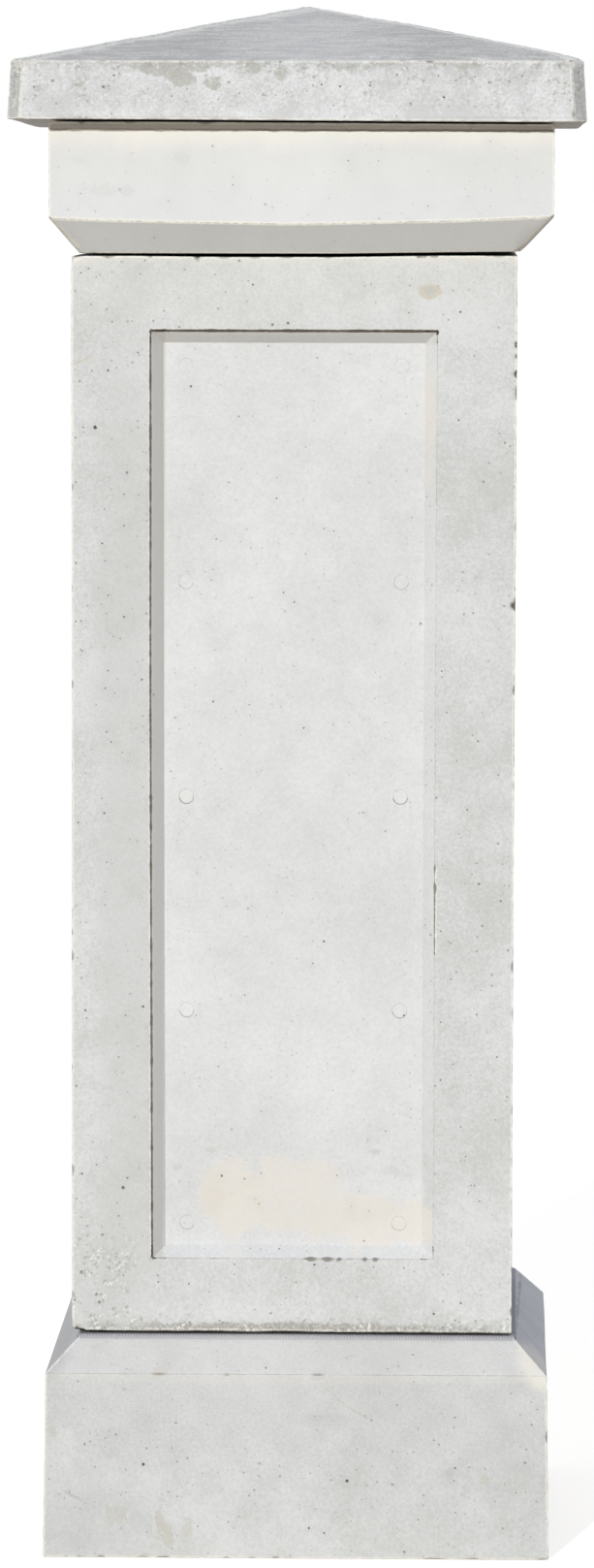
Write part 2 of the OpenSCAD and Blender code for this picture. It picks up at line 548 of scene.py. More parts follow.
def makeToneGroup():  # cloudy colour of cast concrete, from broad patches down to sand and pin holes
    g, i, o = newGroup("castTone", [
        ("Vector", "Vector", None),
        ("Pale", "Color", (0.8, 0.8, 0.8, 1)), ("Grey", "Color", (0.6, 0.6, 0.6, 1)),
        ("Patches", "Float", 1.0), ("Clouds", "Float", 1.0), ("Grain", "Float", 1.0), ("Pins", "Float", 0.5)],
        [("Color", "Color"), ("Height", "Float")])
    broad = times(g, swing(g, i["Vector"], 5.0, 2.2), i["Patches"])
    cloud = times(g, swing(g, i["Vector"], 32.0, 1.2, 3.0), i["Clouds"])
    fine = noise(g, i["Vector"], 330.0, 2.0, 0.6)
    grain = times(g, minus(g, fine, 0.5), i["Grain"])
    total = plus(g, plus(g, broad, cloud), plus(g, grain, 0.45), clamp=True)
    toned = mixColour(g, total, i["Pale"], i["Grey"])
    cell = put(g, "TexVoronoi", {"Vector": i["Vector"], "Scale": 190.0, "Randomness": 1.0})
    chance = put(g, "SeparateColor", {0: cell.outputs["Color"]}).outputs
    size = times(g, minus(g, chance[0], 0.6), 0.62)
    pin = ramp(g, minus(g, cell.outputs["Distance"], size), 0.02, -0.04)
    pin = times(g, times(g, pin, chance[1]), i["Pins"])
    g.links.new(mixColour(g, pin, toned, (0.3, 0.29, 0.27)), o["Color"])
    g.links.new(minus(g, fine, pin), o["Height"])
    return g


def makeStainGroup():  # a ragged blot round one place, torn and gritty at its border
    g, i, o = newGroup("stain", [
        ("Vector", "Vector", None), ("Centre", "Vector", (0, 0, 0)), ("Size", "Vector", (0.1, 0.1, 0.1)),
        ("Lean", "Float", 0.0), ("Ragged", "Float", 0.5), ("Grain", "Float", 40.0), ("Soft", "Float", 0.3),
        ("Grit", "Float", 0.3)], [("Mask", "Float")])
    gap = vectorMaths(g, "SUBTRACT", i["Vector"], i["Centre"])
    turned = put(g, "VectorRotate", {"Vector": gap, "Angle": i["Lean"]}, rotation_type="Y_AXIS")
    gap = vectorMaths(g, "DIVIDE", turned.outputs["Vector"], i["Size"])
    far = put(g, "VectorMath", {0: gap}, operation="LENGTH").outputs["Value"]
    torn = plus(g, swing(g, i["Vector"], i["Grain"], 2.0, 5.0), swing(g, i["Vector"], 380.0, 1.1, 2.0))
    edge = plus(g, far, times(g, torn, i["Ragged"]))
    mask = ramp(g, edge, plus(g, i["Soft"], 1.0), minus(g, 1.0, i["Soft"]))
    bare = ramp(g, noise(g, i["Vector"], 300.0, 3.0), 0.45, 0.62)
    left = minus(g, 1.0, times(g, bare, i["Grit"]))
    g.links.new(times(g, mask, left), o["Mask"])
    return g


def makeBandGroup():  # 1 above a ragged level, in metres
    g, i, o = newGroup("band", [
        ("Vector", "Vector", None), ("Level", "Float", 0.5), ("Soft", "Float", 0.01),
        ("Ragged", "Float", 0.01), ("Grain", "Float", 60.0)], [("Mask", "Float")])
    height = put(g, "SeparateXYZ", {0: i["Vector"]}).outputs["Z"]
    torn = plus(g, swing(g, i["Vector"], i["Grain"], 2.0, 4.0), swing(g, i["Vector"], 350.0, 0.5, 2.0))
    torn = times(g, torn, i["Ragged"])
    above = maths(g, "DIVIDE", minus(g, plus(g, height, torn), i["Level"]), i["Soft"])
    g.links.new(ramp(g, above, -0.5, 0.5), o["Mask"])
    return g


markLabels = ("Hollow", "Patch", "Wear", "Soil", "Arris", "SeamGap", "SeamWide", "SeamDark", "Grit", "Buried")


def makeMarksGroup():  # dark air holes, seams and grit, pale rubbed arrises, and painted shade, black inside the joints
    g, i, o = newGroup("castMarks", [
        ("Vector", "Vector", None),
        ("Color", "Color", (0.7, 0.7, 0.7, 1)), ("Rubbed", "Color", (0.8, 0.78, 0.74, 1)),
        ("Rub", "Float", 0.5), *((label, "Float", 0.0) for label in markLabels)],
        [("Color", "Color"), ("Pitting", "Float")])
    ragged = swing(g, i["Vector"], 260.0, 3.6, 3.0)
    rim = ramp(g, plus(g, i["Arris"], ragged), 2.9, 1.5)
    rim = maths(g, "MAXIMUM", rim, i["Wear"])
    colour = mixColour(g, i["Patch"], i["Color"], i["Rubbed"])
    colour = mixColour(g, times(g, rim, i["Rub"]), colour, i["Rubbed"])
    # a speckled dark strip at each arris: partly dark specks, partly painted shade of the rounded edge
    verge = ramp(g, plus(g, i["Arris"], times(g, ragged, 0.4)), 1.0, 0.3)
    verge = times(g, verge, ramp(g, noise(g, i["Vector"], 210.0, 3.0), 0.42, 0.58))
    colour = mixColour(g, times(g, verge, 0.55), colour, (0.38, 0.36, 0.33))
    sand = noise(g, i["Vector"], 260.0, 3.0, 0.65)
    crowd = times(g, ramp(g, noise(g, i["Vector"], 48.0, 3.0), 0.46, 0.6), i["Grit"])
    colour = mixColour(g, times(g, crowd, 0.25), colour, (0.5, 0.5, 0.47))
    pitted = times(g, ramp(g, sand, 0.57, 0.64), crowd)
    colour = mixColour(g, pitted, colour, (0.30, 0.28, 0.25))
    fleck = times(g, ramp(g, sand, 0.44, 0.38), crowd)
    colour = mixColour(g, fleck, colour, i["Rubbed"])
    # air holes and pitted zones are painted dark: partly their dirt, partly painted shade deep inside them
    colour = mixColour(g, i["Hollow"], colour, (0.16, 0.15, 0.135))
    wander = swing(g, i["Vector"], 240.0, 1.1)
    off = minus(g, plus(g, i["SeamGap"], wander), i["SeamWide"])
    line = times(g, ramp(g, off, 0.3, -0.3), i["SeamDark"])
    # arrises painted dark: stains of chips and knocks, and painted shade at the shaft's foot joint
    speckled = plus(g, i["Soil"], times(g, i["Soil"], swing(g, i["Vector"], 220.0, 1.6)), clamp=True)
    colour = mixColour(g, maths(g, "MAXIMUM", line, speckled), colour, (0.12, 0.10, 0.08))
    # painted shade: the joints between the blocks are painted black
    g.links.new(mixColour(g, i["Buried"], colour, (0.02, 0.02, 0.02)), o["Color"])
    g.links.new(times(g, ramp(g, sand, 0.42, 0.62), i["Grit"]), o["Pitting"])
    return g


toneGroup, stainGroup = makeToneGroup(), makeStainGroup()
bandGroup, marksGroup = makeBandGroup(), makeMarksGroup()


def attribute(tree, label):
    return put(tree, "Attribute", attribute_name=label).outputs["Fac"]


def castTone(tree, place, tone):
    inputs = {label: tone[label] for label in ("Pale", "Grey", "Patches", "Clouds", "Grain", "Pins")}
    inputs["Vector"] = vectorMaths(tree, "MULTIPLY", place, tone.get("stretch", (1, 1, 1)))
    return put(tree, "Group", inputs, node_tree=toneGroup)


def bandMask(tree, place, casting, band):
    inputs = {"Vector": place, "Level": (band["up"] + casting.foot) * mm, "Grain": band["grain"]}
    inputs.update({"Soft": band["soft"] * mm, "Ragged": band["ragged"] * mm})
    mask = put(tree, "Group", inputs, node_tree=bandGroup).outputs["Mask"]
    return minus(tree, 1.0, mask) if band["below"] else mask


def stainMask(tree, place, casting, stain):
    (wide, tall), deep = stain["size"], stain["deep"]
    size = (wide, deep, tall) if stain["turn"] % 2 == 0 else (deep, wide, tall)
    centre = casting.onSide(stain["turn"], *stain["at"])
    inputs = {label: stain[label.lower()] for label in ("Ragged", "Grain", "Soft", "Grit")}
    inputs.update({"Vector": place, "Centre": Vector(centre * mm), "Size": Vector(size) * mm})
    inputs["Lean"] = math.radians(stain["lean"])
    return put(tree, "Group", inputs, node_tree=stainGroup).outputs["Mask"]


def concrete(name, casting):
    look = casting.form
    material = bpy.data.materials.new(name)
    material.use_nodes = True
    tree = material.node_tree
    tree.nodes.clear()
    place = put(tree, "TexCoord").outputs["Object"]
    inset = attribute(tree, "inset")
    tone = castTone(tree, place, look["face"])
    colour = tone.outputs["Color"]
    deeper = 1.0
    if "sunk" in look:  # the part that lies deeper than the rim; on the base and the collar its darker tone is painted shade
        deeper = ramp(tree, inset, *look["sunkFrom"])
        colour = mixColour(tree, deeper, colour, castTone(tree, place, look["sunk"]).outputs["Color"])
    if "slant" in look:  # the slanting border of that part, painted a little darker as shade
        within = times(tree, deeper, ramp(tree, inset, panelSink - 0.1, panelSink - 1.1))
        colour = mixColour(tree, within, colour, look["slant"], "MULTIPLY")
    if "corner" in look:  # the small diagonal faces at the corners, painted darker as shade
        colour = mixColour(tree, attribute(tree, "corner"), colour, look["corner"], "MULTIPLY")
    for streak in look["streaks"]:
        stretched = vectorMaths(tree, "MULTIPLY", place, streak["stretch"])
        share = ramp(tree, noise(tree, stretched, streak["scale"], 4.0), *streak["reach"])
        share = times(tree, times(tree, share, streak["strength"]), deeper)
        colour = mixColour(tree, share, colour, streak["colour"])
    for band in look["bands"]:
        share = times(tree, bandMask(tree, place, casting, band), band["strength"])
        colour = mixColour(tree, share, colour, band["colour"])
    for stain in look["stains"]:
        share = times(tree, stainMask(tree, place, casting, stain), stain["strength"])
        if stain["sunkOnly"]:
            share = times(tree, share, deeper)
        colour = mixColour(tree, share, colour, stain["colour"])
    inputs = {label: attribute(tree, label[0].lower() + label[1:]) for label in markLabels}
    inputs.update({"Vector": place, "Color": colour, "Rubbed": (*look["rubbed"], 1), "Rub": look["rub"]})
    marks = put(tree, "Group", inputs, node_tree=marksGroup)
    height = minus(tree, tone.outputs["Height"], times(tree, marks.outputs["Pitting"], look["pitBump"]))
    bump = put(tree, "Bump", {
        "Height": height, "Strength": look["bump"], "Distance": look["bumpHeight"] * mm})
    shader = put(tree, "BsdfPrincipled", {
        "Base Color": marks.outputs["Color"], "Roughness": 0.9, "Specular IOR Level": 0.25,
        "Normal": bump.outputs["Normal"]})
    out = put(tree, "OutputMaterial")
    tree.links.new(shader.outputs["BSDF"], out.inputs["Surface"])
    return material


# the four blocks: lengths in mm from the middle of a block's front and up from its foot

panelHalf, panelFoot, panelTop, panelSink = 145, 76, 1029, 12  # the shaft's panel, as in the CAD

smallRings = ((0, 1, 1, 1), (0.75, 6, 0.7, 0.9), (1.15, 7, 0, 0.05))  # reach, points, depth, darkness
largeRings = ((0, 1, 1, 1), (0.6, 8, 0.95, 1), (0.88, 11, 0.6, 0.9), (1.15, 12, 0, 0.05))

# arris gives depth, roughness, chips per metre and soiling, which is painted joint shade; a pit is across,
# up, radius, darkness;
# a knock is across, up, span, depth, darkness; holeRate is per square metre
plainBlock = dict(
    seat=3, seatReach=181, frontDepth=45, hiddenStep=30, hiddenGap=10, edgeStep=3, edgeGap=0.4,
    asideStep=1.5, gridStep=16, gridGap=6.0, zoneGap=1.6, rows=(0.5, 1.4, 3.2, 7),
    holeRate=1500, holeSmall=0.55, holeSpread=2.5, holeLarge=2.6, holePale=1.8,
    holeRound=1.2, holeRings=(smallRings, largeRings), asideHoles=0.6,
    crowd=lambda across, up, inset: 0.6 + 0 * up, buried=lambda up, inset: 0 * up,
    waveDepth=0.7, waveLength=140.0, wearReach=14, roundness=0.22,
    arris=lambda up, inset, corner: (1.0, 0.5, 7), knocks=(), pits=(), zones=(), rimFrom=2,
    seamDepth=0.9, swell=1.6, ridgeLift=1.3, ridgeRub=0.22, soilStrip=2.4,
    streaks=(), bands=(), stains=(), bump=0.3, bumpHeight=0.8, pitBump=2.5, rub=0.7)


def tone(pale, grey, **changes):
    usual = dict(Pale=(*pale, 1), Grey=(*grey, 1), Patches=1.0, Clouds=1.0, Grain=1.0, Pins=0.35)
    return dict(usual, **changes)


def pitted(up, fade, step, grain, bare, depth, tone, grit, turn=None, across=(-300, 300)):  # a rough zone
    return dict(up=up, fade=fade, step=step, grain=grain, bare=bare, depth=depth, tone=tone, grit=grit,
                turn=turn, across=across)


def streak(stretch, scale, reach, strength, colour):
    return dict(stretch=stretch, scale=scale, reach=reach, strength=strength, colour=colour)


def band(up, colour, strength, soft, ragged, grain, below=False):  # colours all above a level, or below
    return dict(up=up, colour=colour, strength=strength, soft=soft, ragged=ragged, grain=grain, below=below)


def blot(across, up, wide, tall, colour, strength, ragged=0.8, grain=60, **changes):  # a ragged stain
    stain = dict(at=(across, up), size=(wide, tall), colour=colour, strength=strength)
    stain.update(ragged=ragged, grain=grain, turn=0, deep=30, lean=0, soft=0.3, grit=0.3, sunkOnly=False)
    return dict(stain, **changes)


def blots(spots, *look, **changes):  # several that are alike
    return [blot(*spot, *look, **changes) for spot in spots]


def baseSeam(turn, across, up, q):  # the fine line where the slope starts
    gate = smoothStep(-0.7, 0.1, fractalNoise(q, 40.0, 5))
    width = 0.45 + 0 * up
    for at, span in ((-140, 9), (23, 9)):
        if turn == 0:
            width = np.maximum(width, 1.6 * np.clip(1 - ((across - at) / span) ** 2, 0, 1))
    return width, (0.3 + 0.1 * np.minimum(width, 2)) * np.maximum(gate, width > 1) * (up < 205)


def baseBed(casting, rest, places):  # mortar lies under the shaft, and one back corner sits high
    right, back = (rest[:, :2] - casting.middle).T
    up = rest[:, 2] - casting.foot
    top = up > 222
    high = smoothStep(-100, 258, right) * smoothStep(-258, 258, back) * smoothStep(60, 191, up)
    moved = places + np.stack([2.4 * high, 0 * high, 5.0 * high], axis=1)
    moved[:, 2] += 3.9 * smoothStep(34.05, 34.8, casting.inset(rest)) * top
    moved[:, 2] = np.where(top, np.minimum(moved[:, 2], casting.foot + 228.2), moved[:, 2])
    return moved


def baseArris(up, inset, corner):
    if up < 1:
        return 0.15, 1.1, 24
    return (0.3, 0.5, 0) if up > 220 else (0.3, 1.1, 14)


baseGrey, baseTan = (0.52, 0.53, 0.53), (0.55, 0.52, 0.45)

baseBlock = dict(
    plainBlock, seed=11, seat=0, seam=baseSeam, seamDepth=0.3, warp=baseBed, arris=baseArris,
    holeRate=2600, holeSmall=0.45, holeLarge=1.1, buried=lambda up, inset: smoothStep(48, 56, inset),
    pits=((-156, 97, 1.5, 1), (53, 81, 1.5, 1), (14, 32, 1.2, 1), (164, 95, 1, 1), (178, 96, 0.8, 0.9),
          (164, 49, 0.8, 0.9), (112, 8, 1.1, 0.9), (-216, 117, 0.9, 0.7), (78, 144, 0.8, 0.9),
          (104, 160, 0.9, 0.6), (-82, 212, 0.8, 0.5), (-81, 198, 0.8, 0.5), (52, 206, 1.2, 0.35)),
    knocks=((-253, 76, 4, 2.5, 0.8), (256, 128, 8, 1.8, 0.6), (140, 0, 14, 1.5, 0.7), (188, 0, 13, 1.3, 0.6),
            (252, 0, 9, 2.0, 0.5), (-198, 0, 5, 1.6, 0.6), (-136, 0, 8, 2.0, 0.4), (-71, 1, 4, 2.2, 0.9),
            (-43, 0, 5, 1.8, 0.5), (-20, 0, 5, 1.8, 0.7)),
    rubbed=(0.86, 0.84, 0.77),
    face=tone((0.71, 0.715, 0.71), (0.575, 0.58, 0.565), Patches=0.7, Grain=1.7, Pins=0.8),
    # painted shade: the top beside and under the shaft is painted dark and bluish
    sunk=tone((0.455, 0.45, 0.475), (0.395, 0.39, 0.415)), sunkFrom=(32.5, 33.1),
    bands=(band(1.2, (0.48, 0.44, 0.36), 0.55, 1, 3, 50.0, below=True),),
    stains=(
        *blots(((57, 208, 5, 4), (71, 203, 4, 3)), baseGrey, 0.55, 1.2, 110.0),
        *blots(((-43, 206, 5, 3), (-206, 215, 7, 3)), baseGrey, 0.45, 1.4, 110.0),
        blot(-215, 35, 60, 45, baseGrey, 0.35, 1.0, 25.0, soft=0.6),
        *blots(((-139, 40, 5, 18), (-131, 24, 5, 14)), baseTan, 0.6, 1.2),
        blot(-111, 32, 5, 12, baseTan, 0.4, 1.2),
        blot(-186, 44, 16, 8, baseTan, 0.4, 1.6),
        blot(-139, 193, 9, 6, baseTan, 0.7, 1.4, 120.0),
        blot(23, 190, 8, 4, baseGrey, 0.6, 1.4, 120.0),
        blot(34, 144, 26, 7, baseGrey, 0.3, 1.2, 50.0),
        blot(158, 89, 5, 5, baseGrey, 0.5, 1.0, 120.0),
        blot(195, 83, 6, 5, baseTan, 0.5, 1.0, 120.0),
        blot(-191, 110, 7, 6, baseGrey, 0.35, 1.2, 120.0),
        blot(-249, 132, 5, 8, baseTan, 0.5, 1.2),
        blot(38, 171, 16, 0.9, baseTan, 0.6, 0.6, lean=-41, grit=0.6),
        blot(62, 153, 15, 0.9, baseTan, 0.6, 0.6, lean=-31, grit=0.6),
        blot(-228, 64, 12, 1.5, baseGrey, 0.9, 0.6, 150.0, lean=-28),
        # painted light: a pale patch at the front end of the right slope
        blot(-250, 207, 95, 30, (0.90, 0.86, 0.76), 0.8, 0.2, turn=1, grit=0),
        # painted shade: a dark line along the top of the right slope, beside the shaft
        blot(0, 222, 300, 2.5, (0.22, 0.19, 0.15), 0.7, turn=1),
        # painted light and shade: the front slope a little lighter and warmer, the left slope darker
        blot(0, 207, 400, 26, (0.74, 0.705, 0.655), 0.35, 0.1, deep=50, soft=0.15, grit=0),
        blot(0, 207, 400, 26, (0.55, 0.54, 0.525), 0.9, 0.2, turn=3, grit=0)))


def shaftSeam(turn, across, up, q):  # where the panel's former met the mould; its groove is painted dark at the left and the top, as shade, and faint at the right and the bottom
    rough = fractalNoise(q, 10.0, 77)
    head, foot = up > panelTop - 3, up < panelFoot + 3
    gapingInShade = (across < 3 - panelHalf) | head  # wider at the left and the top, where the groove is painted dark as shade
    width = np.where(gapingInShade, 1.35 + 0.55 * rough, 0.4 + 0.3 * rough)
    width = np.where(head, 1.8 + 0.4 * rough, width)
    dark = np.where(gapingInShade, np.where(head, 1.0, 0.88) + 0.12 * rough, np.where(foot, 0.3, 0.16) + 0.2 * rough)
    if turn != 0:
        return width * 0.7, dark * 0.7
    crack = (across > panelHalf - 3) & (up > 392) & (up < 484)
    width = np.where(crack, 1.1 + 1.2 * rough, width)
    dark = np.where(crack, 0.75, dark)
    for at, span in ((19, 9), (37, 8), (49, 3), (75, 3), (86, 4)):
        hit = np.clip(1 - ((across - at) / span) ** 2, 0, 1) * foot
        width = np.maximum(width, 2.8 * hit * (1 + 0.7 * rough))
        dark = np.maximum(dark, 0.75 * np.sqrt(hit))
    return width, np.clip(dark, 0, 1)


def formerMarks(casting, face):  # round plugs that the panel's former left, five up and two across
    marks = []
    plugs = casting.form["plugs"]
    sunk = np.abs(casting.inset(casting.corners[np.unique(face["edges"])]) - panelSink).max() < 0.1
    if not sunk or abs(face["normal"][2]) > 0.1:
        return marks
    count = 26 if face["turn"] == 0 else 14
    for row, strength in enumerate(plugs["strengths"]):
        for across in plugs["across"]:
            spot = casting.onFace(face, (across, plugs["lowest"] + plugs["apart"] * row))
            strength = strength * (1 if face["turn"] == 0 else 0.5)
            turn = np.arange(count) * 2 * math.pi / count
            lower = 0.12 + 0.88 * smoothStep(-0.15, 0.35, -np.sin(turn))
            grain = 0.7 + 0.5 * casting.rng.random(count)
            line = 0.75 * strength * lower * grain
            none, pale = np.zeros(count), 0.16 * strength
            rings = [(0.01, 0.2, np.zeros(1), pale), (3.8, 0.2, np.zeros(10), pale), (6.8, 0.2, none, pale),
                     (7.2, 0.6, line, 0), (7.6, 0.5, line, 0), (8.1, 0, none, 0)]
            marks.append((spot, 8.6, rings))
    return marks


def shaftCrowd(across, up, inset):  # air holes crowd at the foot and the left rim
    rim = inset < 3
    share = np.where(rim, np.where(across < 0, 0.85, 0.5), 0.35)
    share = np.where(rim & (up < 70), 1.0, share)
    return np.where(rim & (up > 1040), 0.45, share)


def shaftLines(casting, rest, places):  # its edges and the panel's are not quite straight
    x, y = (rest[:, :2] - casting.middle).T
    up = rest[:, 2] - casting.foot
    sag = np.interp(x, (-225, -160, -60, 40, 150, 225), (-0.6, -0.5, -1.3, -1.1, 0.5, 0.6))
    sag = sag * smoothStep(1080, 1105, up)
    foot = np.interp(x, (-225, 225), (1.5, 0)) * (1 - smoothStep(0, 25, up))
    left = (-panelHalf, panelSink - panelHalf)
    low, high = (panelFoot, panelFoot + panelSink), (panelTop - panelSink, panelTop)
    panel = np.interp(up, (50, *low, 110, 1000, *high, 1045), (0, 1.5, 1.5, 0, 0, -1, -1, 0))
    panel = panel * (1 - smoothStep(panelHalf, 160, np.abs(x))) * (y < 0)
    outer = np.interp(up, (panelFoot, 170, 370, 670), (2.0, 1.7, 1.0, 0))
    inner = np.interp(up, (panelFoot, 170, 370, 670, panelTop), (3.1, 2.9, 2.3, 1.1, 0.5))
    share = np.interp(x, left, (0, 1))
    near = np.interp(x, (-175, *left, -60), (0, 1, 1, 0))
    near = near * np.interp(up, (50, panelFoot, panelTop, 1045), (0, 1, 1, 0))
    aside = (outer + (inner - outer) * share) * near * (y < 0)
    aside = aside + smoothStep(0, 225, x) * smoothStep(500, 1100, up) * 1.2
    return places + np.stack([aside, 0 * x, sag + foot + panel], axis=1)


def shaftArris(up, inset, corner):
    if inset < 1 and corner < 200 and 60 < up < 1050:
        return 0.2, 0.35, 2  # round the panel
    if up > 1100:
        return 1.0, 1.0, 22
    # the foot arris is painted dark, as shade of the joint below
    return (1.7, 0.4, 4, 1.0) if up < 5 else (0.4, 1.6, 22)


def shaftJointShade(up, inset):  # painted shade: the joint below is painted dark at once, the one above only further in
    low = np.where(up < 1, 0, np.where(up > 1104, 2, 16))
    high = np.where(up < 1, 1.2, np.where(up > 1104, 4, 22))
    return smoothStep(low, high, inset)


cream, shaftGrey, shaftTan = (0.785, 0.74, 0.675), (0.56, 0.56, 0.54), (0.62, 0.57, 0.46)

shaftBlock = dict(
    plainBlock, seed=23, seat=5.5, seam=shaftSeam, rimFrom=0.5, seamDepth=0.5, marks=formerMarks,
    arris=shaftArris, holeRate=3400, holeSmall=0.45, holeLarge=1.2, crowd=shaftCrowd, warp=shaftLines,
    buried=shaftJointShade,
    plugs=dict(across=(-110, 110), lowest=112.5, apart=220, strengths=(0.4, 0.7, 1.0, 0.45, 0.05)),
    zones=(pitted((-5, 100), 22, 3.0, 6.0, 0.2, 0.9, 0.12, 0.9, turn=0, across=(-230, -165)),
           pitted((-5, 16), 8, 3.4, 6.0, 0.25, 0.6, 0.1, 0.8, turn=0, across=(-230, 230))),
    pits=((-215, 1087, 0.9, 0.8), (-205, 1055, 0.8, 0.8), (-188, 988, 1.2, 0.9), (-201, 930, 1.8, 1),
          (-204, 931, 0.8, 0.9), (187, 154, 0.8, 0.9), (192, 138, 0.8, 0.9), (146, 21, 1.2, 1),
          (-215, 62, 1.7, 0.6), (-200, 39, 1.4, 0.6), (-197, 31, 1.4, 0.6), (-209, 110, 1.2, 0.4),
          (-194, 101, 1.4, 0.5), (-183, 24, 1.7, 0.3), (-174, 1098, 1.4, 0.25), (-151, 1100, 0.8, 0.8),
          (84, 68, 0.9, 0.6), (-173, 150, 1.5, 0.9), (-169, 160, 1.1, 0.8), (-73, 161, 1.2, 1),
          (-49, 158, 0.9, 0.8), (46, 162, 0.8, 0.7), (74, 93, 1, 0.8), (-13, 85, 1, 0.9),
          (-213, 930, 0.8, 0.9), (-169, 884, 1.1, 0.8), (-172, 862, 0.9, 0.8), (-172, 830, 0.9, 0.8),
          (-194, 812, 1, 1), (-191, 794, 0.8, 0.8), (-188, 759, 0.9, 0.8), (-172, 737, 1, 1),
          (-214, 702, 0.8, 0.9), (-188, 682, 0.9, 0.8), (-154, 673, 1, 0.9), (-191, 664, 0.9, 0.7),
          (-185, 609, 0.9, 0.8), (-82, 650, 0.9, 1), (1, 752, 1, 0.9), (11, 623, 0.9, 1),
          (24, 1001, 0.8, 0.9), (-17, 858, 0.8, 1), (31, 827, 0.8, 0.7), (-66, 874, 0.8, 0.7),
          (-84, 774, 0.8, 0.7), (-121, 633, 1, 0.5)),
    knocks=((-225, 1105, 14, 4.5, 0), (224, 1015, 4, 3, 0.9), (224, 1003, 3, 2.5, 0.8),
            (224, 985, 5, 3.2, 0.9), (226, 749, 5, 2.6, 0.8), (-225, 0, 16, 3.4, 0.1),
            (129, 1105, 6, 2.2, 0.6), (142, 1105, 5, 2.0, 0.5), (206, 1104, 7, 2.4, 0.3),
            (-98, 1105, 3, 2.5, 0.6)),
    rubbed=(0.88, 0.86, 0.79), rub=0.85,
    face=tone((0.735, 0.74, 0.73), (0.595, 0.595, 0.58), Grain=2.1, Pins=1.0),
    sunk=tone((0.79, 0.79, 0.79), (0.665, 0.665, 0.66), Patches=0.8, Clouds=0.7, Grain=1.4, Pins=0.7),
    # the panel's bevels are painted a little darker, as shade
    sunkFrom=(0.3, 1.5), slant=(0.98, 0.975, 0.97),
    bands=(band(10, shaftGrey, 0.5, 14, 14, 40.0, below=True),
           band(1097, (0.76, 0.73, 0.66), 0.6, 8, 10, 60.0)),
    stains=(
        blot(-60, 141, 36, 47, cream, 0.85, 0.9, 30.0, soft=0.1, sunkOnly=True),
        blot(0, 143, 66, 40, cream, 0.75, 1.0, 30.0, soft=0.1, sunkOnly=True),
        blot(88, 118, 66, 28, cream, 0.8, 0.9, 30.0, soft=0.1, sunkOnly=True),
        blot(-80, 140, 14, 24, (0.73, 0.68, 0.59), 0.5, grain=40.0, grit=0.6, sunkOnly=True),
        blot(40, 120, 60, 22, (0.74, 0.71, 0.65), 0.4, 1.6, grit=0.9, sunkOnly=True),
        *blots(((-118, 170, 5, 3), (-84, 187, 4, 3)), shaftGrey, 0.5, 1.4, 120.0, sunkOnly=True),
        blot(86, 186, 6, 4, shaftGrey, 0.6, 1.4, 120.0, sunkOnly=True),
        *blots(((105, 165, 14, 7), (140, 160, 5, 30)), shaftGrey, 0.35, 1.8, 90.0, sunkOnly=True),
        blot(0, 1067, 260, 36, (0.77, 0.765, 0.755), 0.3, 0.6, 20.0),
        blot(139, 1069, 11, 8, shaftTan, 0.9, 0.5, 70.0, soft=0.2),
        blot(139, 1070, 6, 4.5, shaftGrey, 0.8, 0.5, 90.0, soft=0.2),
        blot(-215, 998, 11, 1.1, shaftTan, 0.8, 0.5, 90.0, lean=25),
        # painted shade: the panel's left and upper bevels are painted darker
        blot(-142, 552, 11, 3000, (0.62, 0.605, 0.575), 0.95, 0.05, lean=-0.16, soft=0.1, grit=0,
             sunkOnly=True),
        blot(0, 1024, 500, 9, (0.60, 0.59, 0.56), 0.5, 0.1, grit=0, sunkOnly=True),
        blot(-15, 5, 185, 6, (0.38, 0.36, 0.32), 0.85, 1.0, 50.0, grit=0.6),
        blot(-170, 480, 30, 620, (0.61, 0.61, 0.595), 0.6, grain=12.0, soft=0.5),
        blot(-205, 60, 22, 60, shaftGrey, 0.35, 1.6, 45.0, soft=0.4),
        blot(138, 940, 8, 60, cream, 0.6, grain=30.0, soft=0.5, sunkOnly=True)))


def collarBow(casting, rest, places):  # hand-made lines: none of the collar's long edges is quite straight
    rel = rest[:, :2] - casting.middle
    x = rel[:, 0]
    up = rest[:, 2] - casting.foot
    outer = np.abs(rel).max(1) > casting.form["seatReach"] + 5
    bow = 1 - (np.abs(rel).min(1) / casting.half) ** 2
    foot = np.interp(x, (-225, -60, 40, 150, 225), (-1.5, -1.6, -1.5, 0.2, 0.9))
    foot = foot * np.interp(up, (0, 25), (1, 0))
    line = np.interp(x, (-254, -100, 0, 100, 150, 254), (2.8, 2.0, 1.2, 3.0, 3.4, 6.0)) - 3.6 * bow
    line = line * np.interp(up, (5, 31, 100), (0, 1, 0))
    front = 1 - smoothStep(-1, 1, rel[:, 1] / casting.half)
    top = np.interp(x, (-150, 200), (4.0, 2.4)) * np.interp(up, (100, 128), (0, 1)) * front
    aside = smoothStep(-0.2, 1, x / casting.half) * np.interp(up, (0, 31), (-2.4, 2.4))
    return places + np.stack([aside, 0 * x, (foot + line + top) * outer], axis=1)


def collarArris(up, inset, corner):
    if up < 31 and corner > 200:
        return 5.5, 0.3, 0  # the slope's mitres
    return (0.7, 1.1, 12) if up > 120 else (0.4, 0.3, 3)


collarGrey = (0.66, 0.66, 0.65)

